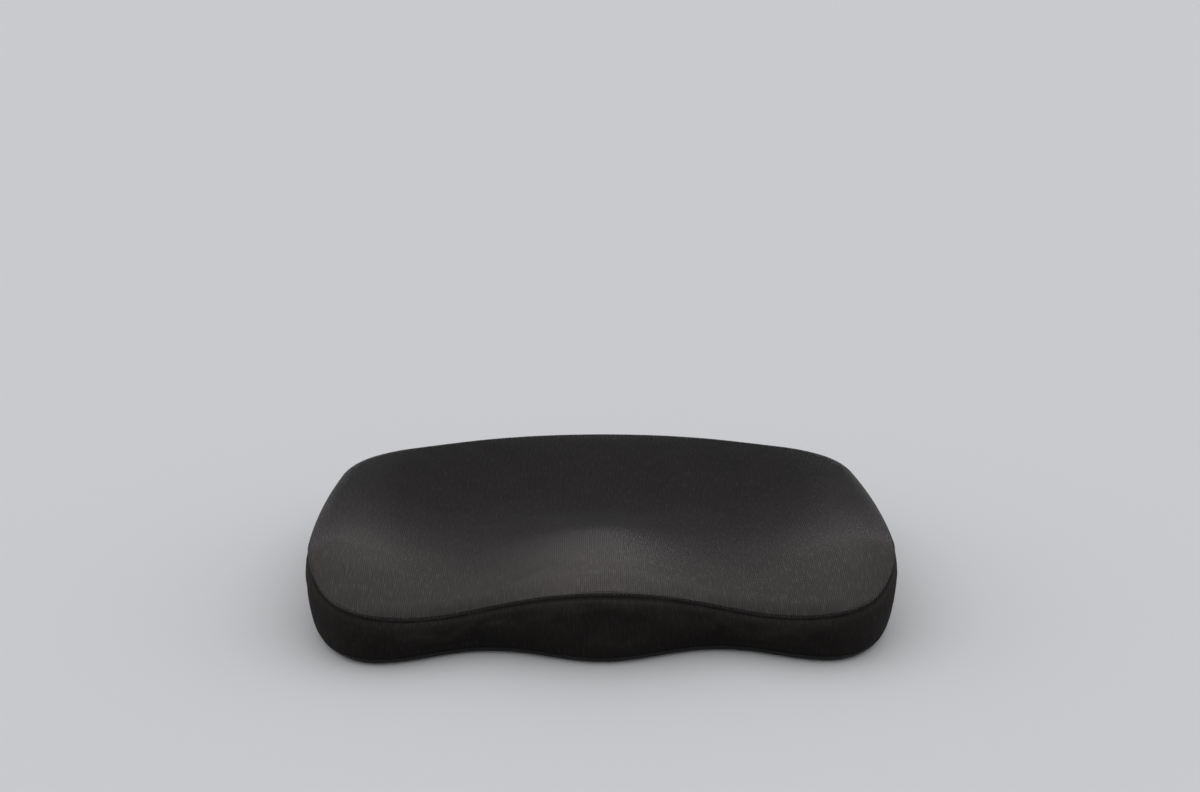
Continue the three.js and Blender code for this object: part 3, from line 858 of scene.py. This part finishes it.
def add_rear_upper():
    """The strip above the zip, folded under along the zip and rolled into the upper seam."""
    stations = rear_strip
    low = ZIP_HEIGHT + ZIP_OPENING / 2
    rows = seam_roll(stations, -1)
    gathers = pucker(stations.place, 11.0, 7.7)
    for t in np.linspace(0, 1, 12):
        start = stations.seam - SEAM_ROLL_DROP
        height = mix(start, low + 0.6, t)
        below = start - height
        bulge = seam_bulge(below) * (1 - t) ** 2 + 0.45 * gathers * np.exp(-below / 7.0)
        bulge = bulge + 0.3 * math.sin(math.pi * t)
        rows.append(stations.push(stations.wall(0, height), bulge))
    for depth, rise in ((0.15, 0.0), (0.9, -0.1), (1.5, 0.7)):
        rows.append(stations.wall(depth, low + rise))
    piece = strip_piece("rear_gusset_upper_cloth", rows[::-1], stations, SUNK_END)
    upholster(piece, STRIP_SHEET, GUSSET_KNIT, "gusset_knit", "rear_gusset_upper")


def add_rear_lower():
    """The strip below the zip, folded under along the zip and turned under at the bottom."""
    stations = rear_strip
    top = np.full(stations.place.shape, ZIP_HEIGHT - ZIP_OPENING / 2)
    rows = gusset_rows(stations, top, False)[::-1]
    piece = strip_piece("rear_gusset_lower_cloth", rows, stations, SUNK_END)
    upholster(piece, STRIP_SHEET, GUSSET_KNIT, "gusset_knit", "rear_gusset_lower")


DOT_HEIGHT = 0.55
DOT_RADIUS = 1.7
DOT_PITCH = 9.0


def add_bottom_panel():
    stations = all_round
    rim_angle = BOTTOM_SEAM_ANGLE + SEAM_GAP / 2 / TUCK_RADIUS
    gathers = pucker(stations.place, 13.0, 5.2)
    rows = [stations.tuck(1.8, rim_angle - 0.05)]
    for t in np.linspace(0, 1, 7):
        row = stations.tuck(0, mix(rim_angle, math.pi / 2, t))
        row[:, 2] = np.maximum(row[:, 2], DOT_HEIGHT)
        rows.append(stations.push(row, 0.4 * gathers * (1 - t) ** 2))
    margin = WALL_LEAN + TUCK_RADIUS + 6
    piece = closed_sheet("bottom_cloth", rows, rows[-1], margin, 8.0, lambda plan: DOT_HEIGHT)
    if sum(polygon.normal.z * polygon.area for polygon in piece.data.polygons) > 0:
        piece.data.flip_normals()
    upholster(piece, COVER_THICKNESS - DOT_HEIGHT, GRIP_CLOTH, "grip_fabric", "bottom_panel")


def add_grip_dots():
    """Low rubber domes printed on the underside in a staggered pattern."""
    edge = all_round.inset(np.full(all_round.place.shape, WALL_LEAN + TUCK_RADIUS + 4.0))
    sides = 12
    angle = np.arange(sides) / sides * 2 * math.pi
    circle = np.column_stack([np.cos(angle), np.sin(angle)])
    profile = ((1.0, DOT_HEIGHT + 0.05), (0.97, 0.3), (0.8, 0.1), (0.45, 0.0))
    vertices, faces = [], []
    for centre in staggered_places(edge, edge, DOT_PITCH):
        base = len(vertices)
        for share, height in profile:
            vertices += [(*(centre + point * DOT_RADIUS * share), height) for point in circle]
        faces += [face[::-1] for face in grid_faces(len(profile), sides, True, base)]
        last = base + (len(profile) - 1) * sides
        faces.append(tuple(range(last, last + sides))[::-1])
        faces.append(tuple(range(base, base + sides)))
    piece = make_piece("grip_dots", vertices, faces)
    dress(piece, GRIP_RUBBER, "grip_fabric")


# ---------------------------------------------------------------- stitching

def tube(path, radii, sides=6):
    """Vertices and faces of a round tube along a path of points."""
    path = np.asarray(path, float)
    tangent = np.gradient(path, axis=0)
    tangent /= np.linalg.norm(tangent, axis=1)[:, None]
    guide = np.where(np.abs(tangent[:, 2:3]) > 0.9, [[1.0, 0, 0]], [[0, 0, 1.0]])
    first = np.cross(tangent, guide)
    first /= np.linalg.norm(first, axis=1)[:, None]
    second = np.cross(tangent, first)
    radii = np.broadcast_to(radii, len(path))
    vertices = []
    for side in range(sides):
        turn = 2 * math.pi * side / sides
        ring = path + (first * math.cos(turn) + second * math.sin(turn)) * radii[:, None]
        vertices.append(ring)
    grid = np.stack(vertices, 1)
    faces = grid_faces(len(path), sides, True)
    faces.append(tuple(range(sides))[::-1])
    faces.append(tuple(range((len(path) - 1) * sides, len(path) * sides)))
    return grid.reshape(-1, 3), faces


def merged(parts):
    """The vertices and the faces of several closed lumps, as one list of each."""
    vertices, faces, base = [], [], 0
    for points, polygons in parts:
        vertices.append(points)
        faces += [tuple(base + index for index in face) for face in polygons]
        base += len(points)
    return np.concatenate(vertices), faces


def stitch_row(name, line, spacing=3.0, radius=0.28, closed=True):
    """Short lockstitches along a line of points, each a little sunk at its ends."""
    line = np.asarray(line)
    loop = np.concatenate([line, line[:1]]) if closed else line
    place = running(np.linalg.norm(np.diff(loop, axis=0), axis=1))
    count = int(place[-1] / spacing)
    pitch = place[-1] / count
    tubes = []
    for index in range(count):
        span = (index + np.array([0.06, 0.2, 0.5, 0.8, 0.94])) * pitch
        path = np.stack([np.interp(span, place, loop[:, axis]) for axis in range(3)], 1)
        tubes.append(tube(path, [0.1, radius * 0.85, radius, radius * 0.85, 0.1], 5))
    return make_piece(name, *merged(tubes))


def add_stitching():
    upper = stitch_row("upper_seam_stitches", all_round.wall(0.75, all_round.seam))
    dress(upper, SEAM_THREAD, "thread", "top_seam_thread")
    lower = stitch_row("lower_seam_stitches", all_round.tuck(0.75, BOTTOM_SEAM_ANGLE))
    dress(lower, SEAM_THREAD, "thread", "bottom_seam_thread")
    inner = LINER_DEPTH + LINER_THICKNESS / 2
    liner = stitch_row(
        "liner_seam_stitches", all_round.wall(inner, LINER_SEAM_HEIGHT, REAR_CLEARANCE), 3.0, 0.24,
    )
    dress(liner, LINER_KNIT, "liner_knit", "liner_seam_thread")
    for side, sign in (("left", 1), ("right", -1)):
        node = f"rear_join_thread_{side}"
        low, high = node_box(node)
        point, normal = outline.at(np.array([sign * along(JOIN_ANGLE)]))
        plan = (point - normal * 0.8)[0]
        heights = np.linspace(low[2] + 0.2, high[2] - 0.2, 60)
        line = np.column_stack([np.tile(plan, (60, 1)), heights])
        stitches = stitch_row(f"rear_join_stitches_{side}", line, 3.0, 0.26, closed=False)
        dress(stitches, SEAM_THREAD, "thread", node)


# ---------------------------------------------------------------- zip

def arc_point(angle, radius, height):
    """A point on the rear arc, its angle counted from the rear's middle towards +X."""
    x = ARC_CENTRE[0] + radius * math.sin(angle)
    return x, ARC_CENTRE[1] + radius * math.cos(angle), height


def add_tapes():
    """Woven tapes that carry the coils, their near edges all but meeting behind them."""
    stations = Stations(-along(TAPE_END_ANGLE), along(TAPE_END_ANGLE))
    radius = REAR_RADIUS - TAPE_RADIUS
    for side, sign in (("upper", 1), ("lower", -1)):
        low, high = node_box(f"zip_tape_{side}")
        near = ZIP_HEIGHT + sign * 0.1
        far = high[2] if sign > 0 else low[2]
        rows = [stations.lift(radius, mix(near, far, t)) for t in np.linspace(0, 1, 9)]
        piece = strip_piece(f"zip_tape_{side}_cloth", rows[::sign], stations)
        thicken(piece, TAPE_THICKNESS)
        dress(piece, TAPE_WEAVE, "zip_tape", f"zip_tape_{side}")


COIL_PITCH = 1.3
COIL_STEPS = 12
COIL_WIRE = 0.3
COIL_REACH = 3.1
COIL_OVERLAP = 0.25


def coil_path(sign, phase):
    """One continuous filament wound in flattened turns along the rear arc."""
    turns = int(2 * COIL_END_ANGLE * REAR_RADIUS / COIL_PITCH)
    middle_radius = COIL_RADIUS + COIL_THICKNESS / 2
    points = []
    for index in range(turns * COIL_STEPS):
        u = index / COIL_STEPS
        swing = 2 * math.pi * u
        squared = 1.0 / max(abs(math.cos(swing)), abs(math.sin(swing))) ** 0.35
        share = 0.5 + 0.5 * math.cos(swing) * squared / 1.05
        across = mix(-COIL_OVERLAP, COIL_REACH - COIL_WIRE, share)
        lift = math.sin(swing) * squared / 1.1 * (COIL_THICKNESS / 2 - COIL_WIRE)
        angle = COIL_END_ANGLE - (u + phase) * COIL_PITCH / REAR_RADIUS
        points.append(arc_point(angle, middle_radius + lift, ZIP_HEIGHT + sign * across))
    return points


def add_coils():
    for side, sign, phase in (("upper", 1, 0.0), ("lower", -1, 0.5)):
        vertices, faces = tube(coil_path(sign, phase), COIL_WIRE)
        piece = make_piece(f"zip_coil_{side}_wire", vertices, faces)
        dress(piece, COIL_NYLON, "zip_nylon", f"zip_coil_{side}")
        sew = [
            arc_point(angle, COIL_RADIUS + COIL_THICKNESS + 0.02, ZIP_HEIGHT + sign * 2.1)
            for angle in np.linspace(COIL_END_ANGLE, -COIL_END_ANGLE, 200)
        ]
        stitches = stitch_row(f"zip_coil_{side}_stitches", sew, 2.6, 0.16, closed=False)
        dress(stitches, SEAM_THREAD, "thread")


def taken_out(work):
    """The vertices and faces of a working mesh, which is then freed."""
    vertices = [tuple(vertex.co) for vertex in work.verts]
    faces = [tuple(vertex.index for vertex in face.verts) for face in work.faces]
    work.free()
    return vertices, faces


def rounded_block(name, size, place, bevel, angle):
    """A softened block, used where a part really is one crimped or cast lump."""
    work = bmesh.new()
    bmesh.ops.create_cube(work, size=1.0)
    bmesh.ops.scale(work, vec=Vector(size), verts=work.verts)
    bmesh.ops.bevel(work, geom=work.edges[:], offset=bevel, segments=3, profile=0.6, affect="EDGES")
    turn = Matrix.Rotation(-angle, 3, "Z")
    bmesh.ops.rotate(work, cent=(0, 0, 0), matrix=turn, verts=work.verts)
    bmesh.ops.translate(work, vec=Vector(place), verts=work.verts)
    return make_piece(name, *taken_out(work))


def add_stops():
    for node in ("zip_top_stop_upper", "zip_top_stop_lower", "zip_bottom_stop"):
        low, high = node_box(node)
        middle = (low + high) / 2
        angle = math.atan2(middle[0] - ARC_CENTRE[0], middle[1] - ARC_CENTRE[1])
        size = (4.3, COIL_THICKNESS - 0.1, high[2] - low[2])
        piece = rounded_block(f"{node}_clip", size, middle, 0.45, angle)
        dress(piece, ZIP_METAL, "zip_metal", node)


def slider_frame():
    """Matrix from the slider's own axes, x along the zip and y outwards, to the model's."""
    angle = math.atan2(PULL_PIVOT[0] - ARC_CENTRE[0], PULL_PIVOT[1] - ARC_CENTRE[1])
    centre = Matrix.Translation(Vector((*ARC_CENTRE[:2], ZIP_HEIGHT)))
    return centre @ Matrix.Rotation(-angle, 4, "Z")


def turned(vertices, matrix):
    return [tuple(matrix @ Vector(vertex)) for vertex in vertices]


def plate(outline_points, low, high, bevel, hole=None):
    """A flat plate between two radii, with softened edges and perhaps a window."""
    work = bmesh.new()
    loops = [outline_points] + ([hole] if hole else [])
    edges = []
    for loop in loops:
        corners = [work.verts.new((x, low, z)) for x, z in loop]
        edges += [work.edges.new((a, b)) for a, b in zip(corners, corners[1:] + corners[:1])]
    bmesh.ops.triangle_fill(work, edges=edges, use_beauty=True)
    bmesh.ops.dissolve_limit(work, angle_limit=0.01, verts=work.verts, edges=work.edges)
    flat = work.faces[:]
    raised = bmesh.ops.extrude_face_region(work, geom=flat)
    lifted = [item for item in raised["geom"] if isinstance(item, bmesh.types.BMVert)]
    bmesh.ops.translate(work, vec=(0, high - low, 0), verts=lifted)
    bmesh.ops.recalc_face_normals(work, faces=work.faces)
    sharp = [edge for edge in work.edges if edge.calc_face_angle(0) > 0.5]
    bmesh.ops.bevel(work, geom=sharp, offset=bevel, segments=2, profile=0.6, affect="EDGES")
    bmesh.ops.triangulate(work, faces=[face for face in work.faces if len(face.verts) > 4])
    return taken_out(work)


def rounded_outline(half_length, half_width, nose, radius, steps=5):
    """A slider plate's outline: square with round corners behind, drawn in at the nose."""
    points = []
    for x, z, start in (
        (half_length - radius, half_width - radius, 0),
        (-half_length * 0.45, half_width - radius, math.pi / 2),
    ):
        sweep = math.pi / 2 if start == 0 else math.pi / 5
        for step in range(steps + 1):
            angle = start + sweep * step / steps
            points.append((x + radius * math.cos(angle), z + radius * math.sin(angle)))
    points.append((-half_length, nose))
    return points + [(x, -z) for x, z in reversed(points)]


SLIDER_LENGTH = 11.0
SLIDER_WIDTH = 8.8
SLIDER_PLATE = 1.0
SLIDER_INNER = TAPE_RADIUS - TAPE_THICKNESS - 0.5
SLIDER_OUTER = COIL_RADIUS + COIL_THICKNESS + 0.5
BRIDGE_TUNNEL = 2.0


def add_slider():
    matrix = slider_frame()
    half, side = SLIDER_LENGTH / 2, SLIDER_WIDTH / 2
    top = SLIDER_OUTER + SLIDER_PLATE
    shape = rounded_outline(half, side, side * 0.55, 1.4)
    parts = [
        plate(shape, SLIDER_INNER - SLIDER_PLATE, SLIDER_INNER, 0.25),
        plate(shape, SLIDER_OUTER, top, 0.35),
    ]
    arch = []
    for t in np.linspace(-1, 1, 25):
        x = 3.1 * np.sign(t) * abs(t) ** 0.6
        rise = (1 - abs(t) ** 2.4) ** 0.6
        arch.append((x, top - 0.6 + rise * (BRIDGE_TUNNEL + 1.05), 0.0))
    parts.append(tube(arch, 0.62, 10))
    for sign in (1, -1):
        rail = [
            (x, SLIDER_OUTER - 0.35, sign * (side - 0.5)) for x in np.linspace(-2.2, half - 0.7, 8)
        ]
        parts.append(tube(rail, 0.5, 8))
    vertices, faces = merged(parts)
    piece = make_piece("zip_slider_cast", turned(vertices, matrix), faces, body="zip_slider")
    dress(piece, ZIP_METAL, "zip_metal", "zip_slider")


PULL_LENGTH = 24.0
PULL_WIDTH = 7.0
PULL_THICKNESS = 1.2


def add_pull():
    """A long tab with a window at its eye, hanging from the slider's bridge."""
    matrix = Matrix.Translation(Vector(PULL_PIVOT)) @ slider_frame().to_3x3().to_4x4()
    half = PULL_WIDTH / 2
    eye = 2.7
    bar = PULL_THICKNESS / 2
    points = [(bar, -eye + 0.5), (bar, eye - 0.5), (bar - 0.5, eye), (-6.6, eye), (-9.0, half)]
    for angle in np.linspace(math.pi / 2, 3 * math.pi / 2, 13):
        points.append((-PULL_LENGTH + half + half * math.cos(angle), half * math.sin(angle)))
    points += [(-9.0, -half), (-6.6, -eye), (bar - 0.5, -eye)]
    window = [(-bar, -1.5), (-5.0, -1.5), (-5.6, -0.9), (-5.6, 0.9), (-5.0, 1.5), (-bar, 1.5)]
    parts = [plate(points, -bar, bar, 0.28, window)]
    for index in range(5):
        x = -13.0 - index * 1.6
        rib = [(x, bar, z) for z in np.linspace(-2.2, 2.2, 7)]
        parts.append(tube(rib, [0.1, 0.3, 0.34, 0.34, 0.34, 0.3, 0.1]))
    vertices, faces = merged(parts)
    piece = make_piece("zip_pull_tab", turned(vertices, matrix), faces, body="zip_pull")
    dress(piece, ZIP_METAL, "zip_metal", "zip_pull")


# ---------------------------------------------------------------- care label

LABEL_LENGTH = 21.0
LABEL_FOLD = 0.35
LABEL_CLOTH = 0.25


def add_care_label():
    """A blank satin ribbon, folded in two, caught in the upright seam beside the zip."""
    low, high = node_box("care_label")
    start = along(JOIN_ANGLE)
    leaf = np.linspace(0, 1, 22) ** 0.8
    bend = np.linspace(-math.pi / 2, math.pi / 2, 9)[1:-1]
    reach = LABEL_LENGTH - LABEL_FOLD
    run = np.concatenate([leaf * reach, reach + LABEL_FOLD * np.cos(bend), leaf[::-1] * reach])
    rise = np.concatenate([leaf * 0 - 1, np.sin(bend), leaf * 0 + 1]) * LABEL_FOLD
    out = run / LABEL_LENGTH
    climb = 3.2 * (1 - np.exp(-out * 14)) - 0.4 + rise * (1 - np.exp(-out * 9))
    point, normal = outline.at(start + run)
    rows = []
    for t in np.linspace(0, 1, 22):
        curl = 0.3 * np.sin(out * 7 + t * 3) * out + 1.2 * out ** 2 * abs(2 * t - 1) ** 1.5
        plan = point + normal * (climb + curl)[:, None]
        rows.append(np.column_stack([plan, np.full(len(run), mix(low[2], high[2], t))]))
    length = running(np.hypot(np.diff(run), np.diff(climb)))
    u, v = np.meshgrid(length, np.linspace(low[2], high[2], len(rows)))
    faces = grid_faces(len(rows), len(run))
    uv = np.column_stack([u.ravel(), v.ravel()])
    piece = make_piece("care_label_ribbon", np.array(rows).reshape(-1, 3), faces, uv)
    thicken(piece, LABEL_CLOTH)
    dress(piece, LABEL_SATIN, "label_satin", "care_label")


# ---------------------------------------------------------------- liner and foam

def seat_layer(name, depth, rows_below, step):
    """A closed-over seat surface at a depth below the cover, with its own wall rows."""
    rows = list(rows_below)
    for fraction in (0, 0.1, 0.22, 0.38, 0.56, 0.78, 1.0):
        rows.append(all_round.crown(depth, fraction, REAR_CLEARANCE))
    margin = CROWN_WIDTH + step * 0.6
    return closed_sheet(name, rows, rows[-1], margin, step, lambda plan: panel_height(plan) - depth)


def tuck_rows(depth):
    """Rows round the turned-under edge, from the flat of the base outwards and up."""
    return [
        all_round.tuck(depth, math.pi / 2 * t, REAR_CLEARANCE) for t in np.linspace(1, 0, 7)
    ]


def wall_rows(depth, low, count):
    top = all_round.seam + SEAM_GAP / 2 - depth
    return [
        all_round.wall(depth, mix(low, top, t), REAR_CLEARANCE)
        for t in np.linspace(0, 0.92, count)
    ]


def add_liner():
    low = LINER_SEAM_HEIGHT + SEAM_GAP / 2
    top = seat_layer("liner_top_cloth", LINER_DEPTH, wall_rows(LINER_DEPTH, low, 6), 6.0)
    upholster(top, LINER_SHEET, LINER_KNIT, "liner_knit", "liner_top")
    rows = tuck_rows(LINER_DEPTH)
    rows.append(all_round.wall(LINER_DEPTH, LINER_SEAM_HEIGHT - SEAM_GAP / 2, REAR_CLEARANCE))
    step = 9.0
    margin = WALL_LEAN + TUCK_RADIUS + REAR_CLEARANCE + step
    base = closed_sheet(
        "liner_base_cloth", rows, rows[0], margin, step, lambda plan: LINER_DEPTH, -1,
    )
    upholster(base, LINER_SHEET, LINER_KNIT, "liner_knit", "liner_base")


def add_foam():
    wall = wall_rows(FOAM_DEPTH, TUCK_RADIUS + 1.0, 7)
    piece = seat_layer("foam_block", FOAM_DEPTH, tuck_rows(FOAM_DEPTH) + wall, 6.0)
    work = bmesh.new()
    work.from_mesh(piece.data)
    open_edges = [edge for edge in work.edges if edge.is_boundary]
    bmesh.ops.contextual_create(work, geom=open_edges)
    bmesh.ops.triangulate(work, faces=[face for face in work.faces if len(face.verts) > 4])
    put_back(work, piece)
    dress(piece, MEMORY_FOAM, "memory_foam", "foam_core")


# ---------------------------------------------------------------- studio

CAMERA_ELEVATION = math.radians(20)
CAMERA_AZIMUTH = math.radians(-1)
CAMERA_DISTANCE = 1484
CAMERA_LENS = 53.6
CAMERA_RAISE = math.radians(4.86)
CAMERA_TARGET = (0, -21, 32)


def add_camera():
    data = bpy.data.cameras.new("camera")
    data.lens = CAMERA_LENS
    data.sensor_width = 36
    data.clip_start = 0.01
    camera = add_object("camera", data)
    target = Vector(CAMERA_TARGET) * MM
    away = Vector((
        math.sin(CAMERA_AZIMUTH) * math.cos(CAMERA_ELEVATION),
        -math.cos(CAMERA_AZIMUTH) * math.cos(CAMERA_ELEVATION),
        math.sin(CAMERA_ELEVATION),
    ))
    camera.location = target + away * CAMERA_DISTANCE * MM
    pitch = math.pi / 2 - CAMERA_ELEVATION + CAMERA_RAISE
    camera.rotation_euler = (pitch, 0, CAMERA_AZIMUTH)
    scene.camera = camera


FLOOR_REACH = 14.0
SPOT_OFFSET = Vector((0, 0.1, 0.94))


def hang_light(data, place, aim):
    light = add_object(data.name, data)
    light.location = place
    light.rotation_euler = (Vector(aim) - Vector(place)).to_track_quat("-Z", "Y").to_euler()
    return light


def add_area_light(name, place, aim, size, power):
    """A softbox, hidden from the camera."""
    data = bpy.data.lights.new(name, "AREA")
    data.shape = "RECTANGLE"
    data.size, data.size_y = size
    data.energy = power
    light = hang_light(data, place, aim)
    light.visible_camera = False
    return light


def add_spot_light(name, aim, power, cone):
    """A soft-edged pool of light from high above one place."""
    data = bpy.data.lights.new(name, "SPOT")
    data.energy = power
    data.spot_size = math.radians(cone)
    data.spot_blend = 1.0
    data.shadow_soft_size = 0.08
    return hang_light(data, Vector(aim) + SPOT_OFFSET, aim)


def add_studio():
    mesh = bpy.data.meshes.new("floor")
    signs = ((-1, -1), (1, -1), (1, 1), (-1, 1))
    corners = [(FLOOR_REACH * x, FLOOR_REACH * y, 0) for x, y in signs]
    mesh.from_pydata(corners, [], [(0, 1, 2, 3)])
    floor = add_object("floor", mesh)
    shader = Shader("studio_floor")
    floor.data.materials.append(shader.finish(opaque(0.8, 0.8, 0.8), 0.9))
    # The lamps model the cushion; the floor is lit evenly, by the surroundings alone.
    lamp_receivers = bpy.data.collections.new("lamp_receivers")
    lamp_receivers.objects.link(floor)
    lamp_receivers.collection_objects[0].light_linking.link_state = "EXCLUDE"
    for light in (
            add_area_light("overhead", (0.0, -0.24, 0.4), (0, -0.17, 0), (0.5, 0.08), 2.55),
            add_area_light("rear_fill", (0.0, 1.7, 0.08), (0, 0, 0.035), (2.4, 0.16), 26),
            add_area_light("left_fill", (-1.7, 0.1, 0.08), (0, 0, 0.035), (2.0, 0.16), 11),
            add_area_light("right_fill", (1.7, 0.1, 0.08), (0, 0, 0.035), (2.0, 0.16), 11),
            add_spot_light("pommel_spot", (0.0, -0.165, 0.06), 188, 10),
            add_spot_light("left_spot", (-0.185, -0.13, 0.06), 112, 12),
            add_spot_light("right_spot", (0.185, -0.13, 0.06), 112, 12)):
        light.light_linking.receiver_collection = lamp_receivers
    world = bpy.data.worlds.new("studio")
    scene.world = world
    world.use_nodes = True
    background = world.node_tree.nodes["Background"]
    background.inputs["Color"].default_value = (0.96, 0.97, 1.0, 1)
    background.inputs["Strength"].default_value = 0.75
    scene.view_settings.view_transform = "Standard"


# ---------------------------------------------------------------- assembly

add_camera()
add_studio()
add_top_panel()
add_side_band()
add_rear_upper()
add_rear_lower()
add_bottom_panel()
add_grip_dots()
add_stitching()
add_tapes()
add_coils()
add_stops()
add_slider()
add_pull()
add_care_label()
add_liner()
add_foam()
